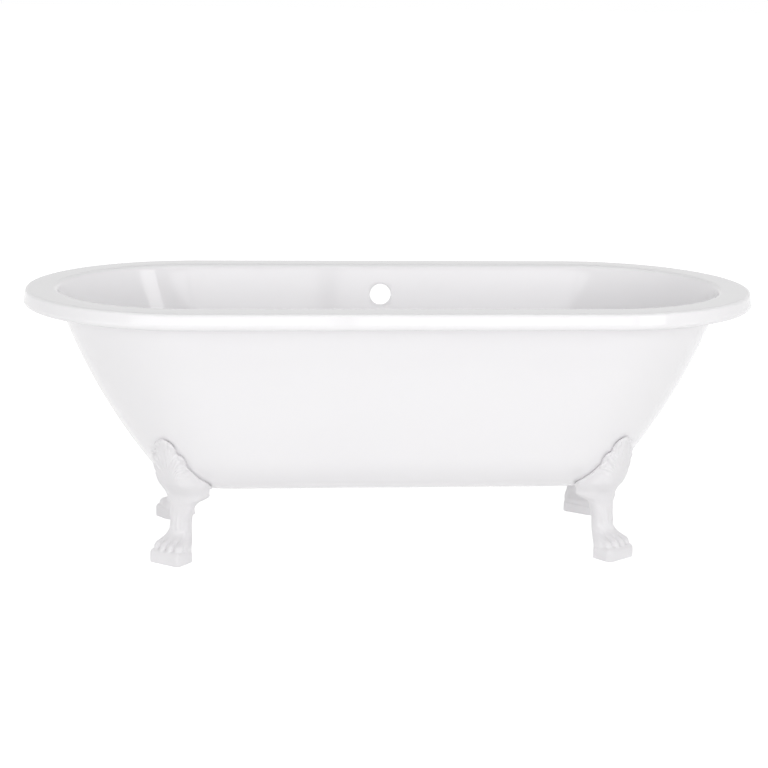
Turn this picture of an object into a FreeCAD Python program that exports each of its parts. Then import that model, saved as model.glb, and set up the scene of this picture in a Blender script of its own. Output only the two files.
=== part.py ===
import FreeCAD, Part
import math
import os

# A free-standing, double-ended cast-iron bath with a rolled rim, on four paw feet.
# All sizes are millimetres. X runs along the bath, -Y is its front and +Z is up.
# The origin is on the floor, under the middle of the bath.

Vector = FreeCAD.Vector
UP = Vector(0, 0, 1)

# Overall size, over the rim and down to the floor
LENGTH = 1700.0
WIDTH = 780.0
HEIGHT = 610.0
WALL = 7.0                     # cast iron with its enamel

# Rim: a flat deck with a skirt that hangs outside the wall, open underneath.
# Seen from above, everything at rim level is two straight sides and two half circles.
RIM_RADIUS = WIDTH / 2
RIM_STRAIGHT = LENGTH / 2 - RIM_RADIUS
WALL_TOP = 594.0               # height where the deck's inner rounding starts
WALL_TOP_INNER = 307.0         # radius of the inner wall at that height
WALL_TOP_OUTER = 314.5
DECK_INNER_ROUND = 16.0
DECK_OUTER_ROUND = 8.0
SKIRT_TOP_INSET = 4.0          # the skirt leans out by this much on its way down
SKIRT_BOTTOM = 573.5
SKIRT_WIDEST = 583.0
LIP_BOTTOM_INSET = 7.0         # where the rounded lip of the skirt ends
LIP_BULGE = 1.4

# Body: a dished floor, a rounded corner and a wall that leans outwards
FLOOR_UNDERSIDE = 142.0
DISH = 10.0                    # the underside rises this much before the corner starts
BODY_TOP = 573.0
END_FLAT = 484.0               # half length of the dished floor
END_DISH_POWER = 2
END_CORNER = 104.0
END_LEAN_LOW = 38.0            # degrees from upright where the wall meets the corner
END_LEAN_TOP = 19.0
SIDE_FLAT = 125.0
SIDE_DISH_POWER = 3
SIDE_CORNER = 150.0
SIDE_LEAN_LOW = 19.0
SIDE_LEAN_TOP = 9.0
DISH_STEPS = (0.02, 0.1, 0.25, 0.45, 0.7, 1.0)
CORNER_STEPS = (0.0, 5.0, 14.0, 27.0, 45.0, 70.0, 100.0)
WALL_LEVELS = (300.0, 370.0, 440.0, 510.0, 573.0)

# Waste hole in the middle of the floor and overflow hole in the back wall
HOLE_RADIUS = 26.0
WASTE_SEAT_RADIUS = 43.0
WASTE_SEAT_TOP = 147.0         # flat seat sunk in the dished floor
WASTE_BOSS_RADIUS = 47.0
WASTE_BOSS_BOTTOM = 137.0
OVERFLOW_HEIGHT = 537.0
OVERFLOW_BOSS_RADIUS = 38.0
OVERFLOW_BOSS_PROUD = 3.0

# Feet: each stands on a line that leaves the centre of the bath's rounded end
FOOT_CENTRE = 370.0            # distance of that centre from the middle of the bath
FOOT_ANGLE = 53.5              # degrees between that line and the bath's long axis
BLOCK_BACK = 210.0             # distances along the line
BLOCK_FRONT = 269.0
BLOCK_HALF_WIDTH = 44.0
BLOCK_HEIGHT = 32.0
BLOCK_SIDE_ROUND = 12.0
BLOCK_TOP_ROUND = 11.0
# Sections of paw, ankle, leg, shoulder and head: height, centre, depth in front of it and behind
# it, width on the side of the bath's middle and on the side of its end, squareness
LEG_SECTIONS = (
    (24.0, 226.0, 26.0, 20.0, 41.5, 41.5, 3.4),
    (38.0, 224.0, 26.0, 22.0, 41.0, 41.0, 3.2),
    (50.0, 216.0, 25.0, 24.0, 36.5, 36.5, 2.7),
    (60.0, 207.0, 23.0, 23.0, 29.5, 29.0, 2.4),
    (73.0, 203.0, 23.0, 24.0, 25.5, 25.0, 2.3),
    (92.0, 200.0, 23.5, 24.0, 24.0, 24.0, 2.3),
    (112.0, 197.0, 24.0, 24.0, 28.5, 24.5, 2.3),
    (127.0, 194.0, 26.5, 22.0, 34.0, 27.0, 2.2),
    (136.0, 188.0, 34.0, 18.0, 43.0, 32.0, 2.1),
    (142.0, 178.0, 45.0, 13.0, 53.0, 44.0, 2.0),
    (148.0, 171.0, 54.0, 8.0, 59.0, 52.5, 1.9),
    (156.0, 171.0, 57.0, 8.0, 59.0, 54.5, 2.0),
    (167.0, 173.0, 62.0, 15.0, 60.0, 57.0, 2.2),
    (180.0, 181.0, 61.5, 20.0, 58.0, 58.5, 2.5),
    (195.0, 194.0, 52.0, 20.0, 48.0, 57.5, 2.8),
    (212.0, 207.0, 41.0, 20.0, 38.5, 53.5, 3.0),
    (230.0, 221.0, 31.0, 20.0, 31.0, 50.5, 3.0),
    (245.0, 232.0, 23.5, 20.0, 28.0, 46.5, 2.8),
    (257.0, 239.5, 17.5, 15.0, 20.0, 34.0, 2.5),
    (270.0, 246.5, 14.0, 12.0, 17.0, 26.0, 2.3),
    (282.0, 253.0, 10.0, 10.0, 11.0, 15.0, 2.2),
)
LEG_OUTLINE_POINTS = 24
TOE_PLACES = (-29.0, -9.8, 9.8, 29.0)
TOE_FORWARD = (-2.0, 2.0, 2.0, -2.0)   # the middle toes stand further forward
TOE_RADIUS = 9.8
TOE_BACK = (231.0, 46.0)       # distance along the line, height
TOE_FRONT = (250.5, 37.0)
TOE_SPLAY = 0.87               # the toes' back ends stand this much closer together

# Shield-shaped saddle that each foot holds against the bath. Its scalloped outline is a chain of
# arcs through (distance to the side, height), from the crest down to the bottom: first the edge
# on the side of the bath's middle, then the edge on the side of its end.
SADDLE_THICKNESS = 11.0
SADDLE_BACK = 132.0
SADDLE_FRONT = 300.0
SHIELD_INNER = (
    (0.0, 291.0), (-17.0, 281.0), (-19.0, 257.0), (-34.0, 249.0), (-33.0, 230.0),
    (-43.0, 206.0), (-61.0, 182.0), (-61.0, 172.0), (-55.0, 163.0), (-28.0, 158.0), (0.0, 157.0),
)
SHIELD_OUTER = (
    (0.0, 291.0), (23.0, 284.0), (33.0, 262.0), (50.0, 256.0), (53.0, 238.0),
    (58.0, 212.0), (62.0, 186.0), (61.0, 174.0), (54.0, 164.0), (30.0, 158.0), (0.0, 157.0),
)

# Fixing: a stud in a cast lug under the floor, through a tongue on the foot
STUD_PLACE = 145.0
LUG_RADIUS = 15.0
LUG_BOTTOM = 148.0
LUG_TOP = 161.0
TONGUE_THICKNESS = 8.0
TONGUE_HALF_WIDTH = 17.0
TONGUE_ROOT = 195.0            # distance along the line at which it ends inside the leg
STUD_RADIUS = 4.9
STUD_HOLE_RADIUS = 5.05
TONGUE_HOLE_RADIUS = 5.5
STUD_DEPTH = 11.0
STUD_END = 125.0
WASHER_RADIUS = 10.0
WASHER_THICKNESS = 2.0
SPRING_WASHER_RADIUS = 9.0
SPRING_WASHER_THICKNESS = 2.5
SPRING_WASHER_GAP = 1.5
NUT_ACROSS_FLATS = 17.0
NUT_HEIGHT = 8.0
NUT_CHAMFER = 0.9
CLEARANCE = 0.5


class WallProfile:
    """Half width of the body at each height: a dish, a corner arc and a wall arc."""

    def __init__(self, flat, power, corner, lean_low, lean_top):
        self.power = power
        self.corner = corner
        self.dish_end = math.atan2(flat, power * DISH)
        self.lean_low = math.radians(lean_low)
        lean_top = math.radians(lean_top)
        self.corner_z = FLOOR_UNDERSIDE + DISH + corner * math.sin(self.dish_end)
        self.corner_x = flat - corner * math.cos(self.dish_end)
        wall_foot_z = self.corner_z - corner * math.sin(self.lean_low)
        wall_foot_x = self.corner_x + corner * math.cos(self.lean_low)
        self.wall = (BODY_TOP - wall_foot_z) / (math.sin(self.lean_low) - math.sin(lean_top))
        self.wall_z = wall_foot_z + self.wall * math.sin(self.lean_low)
        self.wall_x = wall_foot_x - self.wall * math.cos(self.lean_low)

    def dish_top(self, inset):
        """Height where the dished floor meets the corner arc."""
        return self.corner_z - (self.corner - inset) * math.sin(self.dish_end)

    def half(self, z, inset=0.0):
        """Half width at height z of the surface that lies inset inside the body."""
        corner = self.corner - inset
        if z < self.dish_top(inset):
            flat = self.corner_x + corner * math.cos(self.dish_end)
            rise = (z - self.dish_top(inset) + DISH) / DISH
            return flat * rise ** (1 / self.power)
        if z < self.corner_z - corner * math.sin(self.lean_low):
            return self.corner_x + math.sqrt(corner ** 2 - (self.corner_z - z) ** 2)
        return self.wall_x + math.sqrt((self.wall - inset) ** 2 - (self.wall_z - z) ** 2)

    def lean(self, z):
        """Angle of the outer wall from upright, in radians."""
        return math.asin((self.wall_z - z) / self.wall)


END = WallProfile(END_FLAT, END_DISH_POWER, END_CORNER, END_LEAN_LOW, END_LEAN_TOP)
SIDE = WallProfile(SIDE_FLAT, SIDE_DISH_POWER, SIDE_CORNER, SIDE_LEAN_LOW, SIDE_LEAN_TOP)


def arc(start, middle, end):
    return Part.Arc(start, middle, end).toShape()


def stadium(straight, radius, z):
    """Closed outline of two straight sides and two half circles."""
    front_left = Vector(-straight, -radius, z)
    front_right = Vector(straight, -radius, z)
    back_left = Vector(-straight, radius, z)
    back_right = Vector(straight, radius, z)
    return Part.Wire([
        Part.makeLine(front_left, front_right),
        arc(front_right, Vector(straight + radius, 0, z), back_right),
        Part.makeLine(back_right, back_left),
        arc(back_left, Vector(-straight - radius, 0, z), front_left),
    ])


def body_outline(z, inset):
    half_length = END.half(z, inset)
    half_width = SIDE.half(z, inset)
    return stadium(half_length - half_width, half_width, z)


def body_solid(inset, top_radius):
    """Body up to WALL_TOP, with its surface inset inside the outer one."""
    dish_top = max(END.dish_top(inset), SIDE.dish_top(inset))
    dish_levels = [dish_top - DISH + step * DISH for step in DISH_STEPS]
    dish = Part.makeLoft([body_outline(z, inset) for z in dish_levels], True, True)
    wall_levels = [dish_top + step for step in CORNER_STEPS] + list(WALL_LEVELS)
    outlines = [body_outline(z, inset) for z in wall_levels]
    outlines.append(stadium(RIM_STRAIGHT, top_radius, WALL_TOP))
    return Part.makeLoft(outlines, True, False).fuse(dish)


def around_rim(edges):
    """Solid swept round the rim from an outline in radius (X) and height (Z)."""
    face = Part.Face(Part.Wire(edges))
    pieces = []
    for side in (1, -1):
        turned = face.copy()
        turned.rotate(Vector(), UP, 90 * side)
        turned.translate(Vector(-RIM_STRAIGHT, 0, 0))
        pieces.append(turned.extrude(Vector(2 * RIM_STRAIGHT, 0, 0)))
        turned = face.copy()
        turned.rotate(Vector(), UP, -90 * side)
        turned.translate(Vector(side * RIM_STRAIGHT, 0, 0))
        pieces.append(turned.revolve(Vector(side * RIM_STRAIGHT, 0, 0), UP, 180))
    return pieces[0].multiFuse(pieces[1:])


def rim_outline():
    """Hook-shaped section of the rim, from the inner wall over the deck to the skirt's lip."""
    corner = math.sqrt(0.5)
    inner = Vector(WALL_TOP_INNER, 0, WALL_TOP)
    inner_centre = Vector(WALL_TOP_INNER + DECK_INNER_ROUND, 0, HEIGHT - DECK_INNER_ROUND)
    inner_middle = inner_centre + Vector(-corner, 0, corner) * DECK_INNER_ROUND
    deck_inner = inner_centre + Vector(0, 0, DECK_INNER_ROUND)
    skirt_x = RIM_RADIUS - SKIRT_TOP_INSET
    outer_centre = Vector(skirt_x - DECK_OUTER_ROUND, 0, HEIGHT - DECK_OUTER_ROUND)
    deck_outer = outer_centre + Vector(0, 0, DECK_OUTER_ROUND)
    outer_middle = outer_centre + Vector(corner, 0, corner) * DECK_OUTER_ROUND
    skirt_top = outer_centre + Vector(DECK_OUTER_ROUND, 0, 0)
    lip_top = Vector(RIM_RADIUS, 0, SKIRT_WIDEST)
    lip_bottom = Vector(RIM_RADIUS - LIP_BOTTOM_INSET, 0, SKIRT_BOTTOM)
    lip_middle = (lip_top + lip_bottom) * 0.5 + Vector(1, 0, -1) * LIP_BULGE
    lip_inside = lip_bottom + Vector(-WALL / 2, 0, WALL / 2)
    skirt_inside = Vector(skirt_x - WALL, 0, HEIGHT - WALL)
    wall_corner = Vector(WALL_TOP_OUTER, 0, HEIGHT - WALL)
    wall_outside = Vector(WALL_TOP_OUTER, 0, WALL_TOP)
    return [
        arc(inner, inner_middle, deck_inner),
        Part.makeLine(deck_inner, deck_outer),
        arc(deck_outer, outer_middle, skirt_top),
        Part.makeLine(skirt_top, lip_top),
        arc(lip_top, lip_middle, lip_bottom),
        Part.makeLine(lip_bottom, lip_inside),
        Part.makeLine(lip_inside, skirt_inside),
        Part.makeLine(skirt_inside, wall_corner),
        Part.makeLine(wall_corner, wall_outside),
        Part.makeLine(wall_outside, inner),
    ]


def overflow_frame():
    """Centre of the overflow on the back wall's outside, and the outward direction there."""
    lean = SIDE.lean(OVERFLOW_HEIGHT)
    centre = Vector(0, SIDE.half(OVERFLOW_HEIGHT), OVERFLOW_HEIGHT)
    outward = Vector(0, math.cos(lean), -math.sin(lean))
    return centre, outward


def on_foot_line(shape, end, side):
    """Moves a shape drawn along +X onto the line of the foot at that end and side."""
    placed = shape.copy()
    angle = FOOT_ANGLE * side if end > 0 else 180 - FOOT_ANGLE * side
    placed.rotate(Vector(), UP, angle)
    placed.translate(Vector(end * FOOT_CENTRE, 0, 0))
    return placed


def stud_cylinder(radius, bottom, top):
    """Upright cylinder on the stud's axis, on a foot line drawn along +X."""
    return Part.makeCylinder(radius, top - bottom, Vector(STUD_PLACE, 0, bottom))


def make_shell(outer):
    """The bath's one casting: body, rim, bosses and lugs, with its holes."""
    inner = body_solid(WALL, WALL_TOP_INNER)
    centre, outward = overflow_frame()
    waste_boss_height = FLOOR_UNDERSIDE + DISH / 2 - WASTE_BOSS_BOTTOM
    waste_bottom = Vector(0, 0, WASTE_BOSS_BOTTOM)
    waste_boss = Part.makeCylinder(WASTE_BOSS_RADIUS, waste_boss_height, waste_bottom)
    boss_start = centre - outward * (WALL / 2)
    boss_length = WALL / 2 + OVERFLOW_BOSS_PROUD
    overflow_boss = Part.makeCylinder(OVERFLOW_BOSS_RADIUS, boss_length, boss_start, outward)
    lug = stud_cylinder(LUG_RADIUS, LUG_BOTTOM, LUG_TOP)
    lugs = [on_foot_line(lug, end, side) for end in (-1, 1) for side in (-1, 1)]
    shell = outer.cut(inner).fuse(around_rim(rim_outline()))
    shell = shell.multiFuse([waste_boss, overflow_boss] + lugs)

    seat = Part.makeCylinder(WASTE_SEAT_RADIUS, DISH * 2, Vector(0, 0, WASTE_SEAT_TOP))
    waste = Part.makeCylinder(HOLE_RADIUS, DISH * 4, Vector(0, 0, WASTE_BOSS_BOTTOM - DISH))
    overflow = Part.makeCylinder(HOLE_RADIUS, DISH * 4, centre - outward * (DISH * 2), outward)
    stud_hole = stud_cylinder(STUD_HOLE_RADIUS, LUG_BOTTOM - DISH, LUG_BOTTOM + STUD_DEPTH)
    holes = [on_foot_line(stud_hole, end, side) for end in (-1, 1) for side in (-1, 1)]
    return shell.cut(seat).cut(waste).cut(overflow).cut(holes[0].multiFuse(holes[1:]))


def leg_outline(section, hand):
    """Closed smooth outline of one section of the leg."""
    z, centre, front, back, inner, outer, squareness = section
    left, right = (outer, inner) if hand > 0 else (inner, outer)
    points = []
    for step in range(LEG_OUTLINE_POINTS):
        turn = 2 * math.pi * (step + 0.5) / LEG_OUTLINE_POINTS
        along, across = math.cos(turn), math.sin(turn)
        x = abs(along) ** (2 / squareness) * (front if along > 0 else -back)
        y = abs(across) ** (2 / squareness) * (left if across > 0 else -right)
        points.append(Vector(centre + x, y, z))
    curve = Part.BSplineCurve()
    curve.interpolate(Points=points, PeriodicFlag=True)
    return Part.Wire([curve.toShape()])


def capsule(start, end, radius):
    """Rod with round ends."""
    along = end - start
    rod = Part.makeCylinder(radius, along.Length, start, along)
    return rod.multiFuse([Part.makeSphere(radius, start), Part.makeSphere(radius, end)])


def make_block():
    """Rounded block that the paw stands on."""
    depth = BLOCK_FRONT - BLOCK_BACK
    corner = Vector(BLOCK_BACK, -BLOCK_HALF_WIDTH, 0)
    block = Part.makeBox(depth, 2 * BLOCK_HALF_WIDTH, BLOCK_HEIGHT, corner)
    upright = [edge for edge in block.Edges if abs(edge.tangentAt(edge.FirstParameter).z) > 0.5]
    block = block.makeFillet(BLOCK_SIDE_ROUND, upright)
    top = [edge for edge in block.Edges if edge.CenterOfMass.z > BLOCK_HEIGHT - CLEARANCE]
    return block.makeFillet(BLOCK_TOP_ROUND, top)


def make_toes():
    toes = []
    for place, forward in zip(TOE_PLACES, TOE_FORWARD):
        back = Vector(TOE_BACK[0] + forward, place * TOE_SPLAY, TOE_BACK[1])
        front = Vector(TOE_FRONT[0] + forward, place, TOE_FRONT[1])
        toes.append(capsule(back, front, TOE_RADIUS))
    return toes


def make_shield(hand):
    """The saddle's outline as a long solid along the foot line."""
    edges = []
    for outline in (SHIELD_INNER, SHIELD_OUTER):
        points = [Vector(SADDLE_BACK, hand * across, z) for across, z in outline]
        for k in range(0, len(points) - 1, 2):
            edges.append(arc(*points[k:k + 3]))
    wire = Part.Wire(Part.__sortEdges__(edges))
    return Part.Face(wire).extrude(Vector(SADDLE_FRONT - SADDLE_BACK, 0, 0))


def make_tongue():
    """Flat tongue under the cast lug, with a round end and a hole for the stud."""
    bottom = LUG_BOTTOM - TONGUE_THICKNESS
    end = stud_cylinder(TONGUE_HALF_WIDTH, bottom, LUG_BOTTOM)
    corner = Vector(STUD_PLACE, -TONGUE_HALF_WIDTH, bottom)
    length = TONGUE_ROOT - STUD_PLACE
    plate = Part.makeBox(length, 2 * TONGUE_HALF_WIDTH, TONGUE_THICKNESS, corner)
    return end.fuse(plate)


def make_foot(outer, saddle_outside, end, side):
    """One casting: block, paw, leg, shoulder, head, saddle and tongue, cut to fit the bath."""
    # Drawn along +X, the bath's end lies towards +Y for two of the corners and -Y for the others
    hand = -end * side
    leg = Part.makeLoft([leg_outline(section, hand) for section in LEG_SECTIONS], True, True)
    foot = on_foot_line(make_block().multiFuse(make_toes() + [leg, make_tongue()]), end, side)
    saddle = on_foot_line(make_shield(hand), end, side).common(saddle_outside)
    lug_pocket = stud_cylinder(LUG_RADIUS + CLEARANCE, LUG_BOTTOM, LUG_TOP + DISH)
    stud_hole = stud_cylinder(TONGUE_HOLE_RADIUS, STUD_END, LUG_BOTTOM + DISH)
    nut_room = stud_cylinder(WASHER_RADIUS + CLEARANCE, STUD_END, LUG_BOTTOM - TONGUE_THICKNESS)
    room = lug_pocket.multiFuse([stud_hole, nut_room])
    return foot.fuse(saddle).cut(outer).cut(on_foot_line(room, end, side))


def make_washer(radius, bottom, top):
    return stud_cylinder(radius, bottom, top).cut(stud_cylinder(TONGUE_HOLE_RADIUS, bottom, top))


def make_spring_washer(bottom, top):
    """Split ring."""
    ring = make_washer(SPRING_WASHER_RADIUS, bottom, top)
    corner = Vector(STUD_PLACE, -SPRING_WASHER_GAP / 2, bottom)
    return ring.cut(Part.makeBox(WASHER_RADIUS, SPRING_WASHER_GAP, top - bottom, corner))


def make_nut(bottom, top):
    """Hexagon nut with its corners turned off, and a plain bore."""
    reach = NUT_ACROSS_FLATS / math.sqrt(3)
    corners = []
    for side in range(7):
        angle = math.radians(60 * side)
        corners.append(Vector(STUD_PLACE + reach * math.cos(angle), reach * math.sin(angle), bottom))
    hexagon = Part.Face(Part.makePolygon(corners)).extrude(Vector(0, 0, top - bottom))
    cone_bottom = Vector(STUD_PLACE, 0, bottom)
    cone_top = reach - NUT_CHAMFER + top - bottom
    cone = Part.makeCone(reach - NUT_CHAMFER, cone_top, top - bottom, cone_bottom)
    return hexagon.common(cone).cut(stud_cylinder(STUD_HOLE_RADIUS, bottom, top))


def make_fixings():
    """Stud, washer, spring washer and nut on a foot line drawn along +X, top to bottom."""
    washer_top = LUG_BOTTOM - TONGUE_THICKNESS
    spring_top = washer_top - WASHER_THICKNESS
    nut_top = spring_top - SPRING_WASHER_THICKNESS
    return {
        "stud": stud_cylinder(STUD_RADIUS, STUD_END, LUG_BOTTOM + STUD_DEPTH),
        "washer": make_washer(WASHER_RADIUS, spring_top, washer_top),
        "spring_washer": make_spring_washer(nut_top, spring_top),
        "nut": make_nut(nut_top - NUT_HEIGHT, nut_top),
    }


def save(shape, name):
    solid = shape.removeSplitter()
    if len(solid.Solids) != 1 or not solid.isValid():
        raise ValueError(name + " is not one valid solid")
    solid.Solids[0].exportStep("parts/" + name + ".step")
    print(name, round(solid.Volume / 1000), "cm3", solid.BoundBox)


def main():
    os.makedirs("parts", exist_ok=True)
    outer = body_solid(0.0, WALL_TOP_OUTER)
    saddle_outside = body_solid(-SADDLE_THICKNESS, WALL_TOP_OUTER + SADDLE_THICKNESS)
    save(make_shell(outer), "tub_shell")
    fixings = make_fixings()
    for end, end_name in ((-1, "left"), (1, "right")):
        for side, side_name in ((-1, "front"), (1, "back")):
            corner = side_name + "_" + end_name
            save(make_foot(outer, saddle_outside, end, side), "foot_" + corner)
            for kind, shape in fixings.items():
                save(on_foot_line(shape, end, side), kind + "_" + corner)


main()
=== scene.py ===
import math

import bpy
import numpy as np
from mathutils import Matrix, Vector


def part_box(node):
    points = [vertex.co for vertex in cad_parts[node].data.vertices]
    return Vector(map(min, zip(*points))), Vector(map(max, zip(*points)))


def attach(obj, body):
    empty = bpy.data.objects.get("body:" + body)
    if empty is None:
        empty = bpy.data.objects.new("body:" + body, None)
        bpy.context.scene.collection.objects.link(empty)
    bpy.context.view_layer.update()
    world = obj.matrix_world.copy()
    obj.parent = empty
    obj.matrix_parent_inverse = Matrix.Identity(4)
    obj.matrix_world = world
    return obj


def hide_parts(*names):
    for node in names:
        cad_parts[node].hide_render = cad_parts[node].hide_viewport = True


# White enamelled bath on four lion-paw feet. Metres; X along the bath, -Y its front, +Z up.
BODY = "root"
CORNERS = (("front_left", -1, -1), ("front_right", 1, -1), ("back_left", -1, 1), ("back_right", 1, 1))

# Rim, seen from above as two straight sides and two half circles
WALL_TOP = 0.594
WALL_TOP_OUTER = 0.3145
DECK_START = 0.323
DECK_OUTER_ROUND = 0.008
SKIRT_TOP_INSET = 0.004
SKIRT_BOTTOM = 0.5735
SKIRT_WIDEST = 0.583
LIP_BOTTOM_INSET = 0.007
LIP_BULGE = 0.0014
WALL = 0.007

# Body: dished floor, rounded corner and a wall that leans outwards, up to where the rim begins
FLOOR_UNDERSIDE = 0.142
DISH = 0.010
BODY_TOP = 0.573

# Holes, bosses and the cast lugs that take the feet's studs
HOLE_RADIUS = 0.026
HOLE_EDGE = 0.0016
WASTE_SEAT_RADIUS = 0.043
WASTE_SEAT_TOP = 0.147
WASTE_BOSS_RADIUS = 0.047
WASTE_BOSS_BOTTOM = 0.137
OVERFLOW_HEIGHT = 0.537
OVERFLOW_BOSS_RADIUS = 0.038
OVERFLOW_BOSS_PROUD = 0.003
LUG_RADIUS = 0.015
LUG_BORE_RADIUS = 0.0051
LUG_BOTTOM = 0.148
LUG_TOP = 0.161
STUD_PLACE = 0.145

# Mesh of the bath: its columns and rows, how much of a circle the straight's columns take where the
# mesh closes round a hole, and the square patch round the overflow hole
STRAIGHT_COLUMNS = 96
ARC_COLUMNS = 48
CORNER_ROWS = 15
WALL_ROWS = 24
RIM_EDGE_ROWS = 10
STRAIGHT_SHARE = math.radians(100)
PATCH_CELLS = 10
PATCH_HALF_HEIGHT = 0.041

# Feet
FOOT_CENTRE = 0.370
FOOT_ANGLE = math.radians(53.5)
BLOCK_BACK = 0.210
BLOCK_FRONT = 0.269
BLOCK_HALF_WIDTH = 0.044
BLOCK_HEIGHT = 0.032
BLOCK_TOP_ROUND = 0.011
BLOCK_SIDE_ROUND = 0.012
# Sections of paw, ankle, leg, shoulder and head: height, centre, depth in front of it and behind it,
# width on the side of the bath's middle and of its end, squareness
LEG_SECTIONS = (
    (0.024, 0.226, 0.026, 0.020, 0.0415, 0.0415, 3.4),
    (0.038, 0.224, 0.026, 0.022, 0.0410, 0.0410, 3.2),
    (0.050, 0.216, 0.025, 0.024, 0.0365, 0.0365, 2.7),
    (0.060, 0.207, 0.023, 0.023, 0.0295, 0.0290, 2.4),
    (0.073, 0.2030, 0.0230, 0.024, 0.0255, 0.0250, 2.3),
    (0.092, 0.200, 0.0235, 0.024, 0.0240, 0.0240, 2.3),
    (0.112, 0.197, 0.0240, 0.024, 0.0285, 0.0245, 2.3),
    (0.127, 0.194, 0.0265, 0.022, 0.0340, 0.0270, 2.2),
    (0.136, 0.188, 0.0340, 0.018, 0.0430, 0.0320, 2.1),
    (0.142, 0.178, 0.0450, 0.013, 0.0530, 0.0440, 2.0),
    (0.148, 0.171, 0.0540, 0.008, 0.0590, 0.0525, 1.9),
    (0.156, 0.171, 0.0570, 0.008, 0.0590, 0.0545, 2.0),
    (0.167, 0.173, 0.0620, 0.015, 0.0600, 0.0570, 2.2),
    (0.180, 0.181, 0.0615, 0.020, 0.0580, 0.0585, 2.5),
    (0.195, 0.194, 0.0520, 0.020, 0.0480, 0.0575, 2.8),
    (0.212, 0.207, 0.0410, 0.020, 0.0385, 0.0535, 3.0),
    (0.230, 0.221, 0.0310, 0.020, 0.0310, 0.0505, 3.0),
    (0.245, 0.232, 0.0235, 0.020, 0.0280, 0.0465, 2.8),
    (0.257, 0.2395, 0.0175, 0.015, 0.0200, 0.0340, 2.5),
    (0.270, 0.2465, 0.0140, 0.012, 0.0170, 0.0260, 2.3),
    (0.282, 0.2530, 0.0100, 0.010, 0.0110, 0.0150, 2.2),
    (0.289, 0.2560, 0.0070, 0.008, 0.0050, 0.0070, 2.0),
)
TOE_PLACES = (-0.0290, -0.0098, 0.0098, 0.0290)
TOE_FORWARD = (-0.002, 0.002, 0.002, -0.002)
# Points of a toe: distance along the foot's line, spread, height, radius, share of its forward shift
TOE_PATH = (
    (0.207, 0.50, 0.096, 0.0050, 0.0),
    (0.211, 0.55, 0.073, 0.0078, 0.2),
    (0.221, 0.71, 0.054, 0.0092, 0.5),
    (0.236, 0.91, 0.0430, 0.0098, 0.9),
    (0.250, 1.00, 0.0372, 0.0098, 1.0),
    (0.2555, 1.01, 0.0310, 0.0080, 1.0),
)
TENDON_PLACES = (-0.62, -0.2, 0.2, 0.62)
TENDON_BOTTOM = 0.076
TENDON_TOP = 0.140
TENDON_RADIUS = 0.0042
TENDON_SUNK = 0.0026
TENDON_FADE = 0.0030
SADDLE_THICKNESS = 0.011
SADDLE_BACK = 0.132
SADDLE_FRONT = 0.300
# The shield's outline from its crest, as (sideways, height): on the side of the bath's middle, then on
# the side of its end
SHIELD_CENTRE = (0.004, 0.205)
SHIELD_INNER = (
    (0.000, 0.291), (-0.017, 0.281), (-0.019, 0.257), (-0.034, 0.249), (-0.033, 0.230),
    (-0.043, 0.206), (-0.061, 0.182), (-0.061, 0.172), (-0.055, 0.163), (-0.028, 0.158), (0.000, 0.157),
)
SHIELD_OUTER = (
    (0.000, 0.291), (0.023, 0.284), (0.033, 0.262), (0.050, 0.256), (0.053, 0.238),
    (0.058, 0.212), (0.062, 0.186), (0.061, 0.174), (0.054, 0.164), (0.030, 0.158), (0.000, 0.157),
)
# The saddle's section from its front middle round the edge to its back: share of the outline, offset
SADDLE_SECTION = (
    (0.02, 0.0110), (0.30, 0.0110), (0.60, 0.0110), (0.84, 0.0110), (0.93, 0.0108), (0.975, 0.0098),
    (1.0, 0.0078), (1.005, 0.0058), (1.0, 0.0040), (0.975, 0.0033), (0.89, 0.0031),
    (0.86, -0.0015), (0.60, -0.0015), (0.30, -0.0015), (0.02, -0.0015),
)
# The head stays this far off the bath, so that a dark line shows behind the plate's edge
LEG_GAP = 0.0032
TONGUE_THICKNESS = 0.008
TONGUE_HALF_WIDTH = 0.017
TONGUE_ROOT = 0.195
TONGUE_HOLE_RADIUS = 0.0055
# Leaflets on one side of the head: root, bend, tip as (sideways, height), and half width
LEAFLETS = (
    ((0.000, 0.195), (0.000, 0.240), (0.000, 0.288), 0.0085),
    ((0.003, 0.200), (0.008, 0.240), (0.015, 0.277), 0.0065),
    ((0.004, 0.196), (0.014, 0.232), (0.030, 0.248), 0.0075),
    ((0.005, 0.190), (0.020, 0.216), (0.038, 0.223), 0.0065),
    ((0.005, 0.184), (0.024, 0.198), (0.047, 0.200), 0.0065),
    ((0.006, 0.178), (0.028, 0.184), (0.054, 0.180), 0.0060),
)
LEAF_OUTER_SHARE = 0.70
LEAF_HEIGHT = 0.0034
VEIN_DEPTH = 0.0022
VEIN_WIDTH = 0.0018
LEAF_FADE_BOTTOM = 0.190
LEAF_FADE_TOP = 0.215
# The foot's mesh: voxel size, smoothing passes, share of faces kept, and the height below which its
# sole is pressed flat
FOOT_VOXEL = 0.0012
FOOT_SMOOTHING = 6
LEAF_SMOOTHING = 2
FOOT_KEEP = 0.35
FOOT_SOLE = 0.0009


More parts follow.
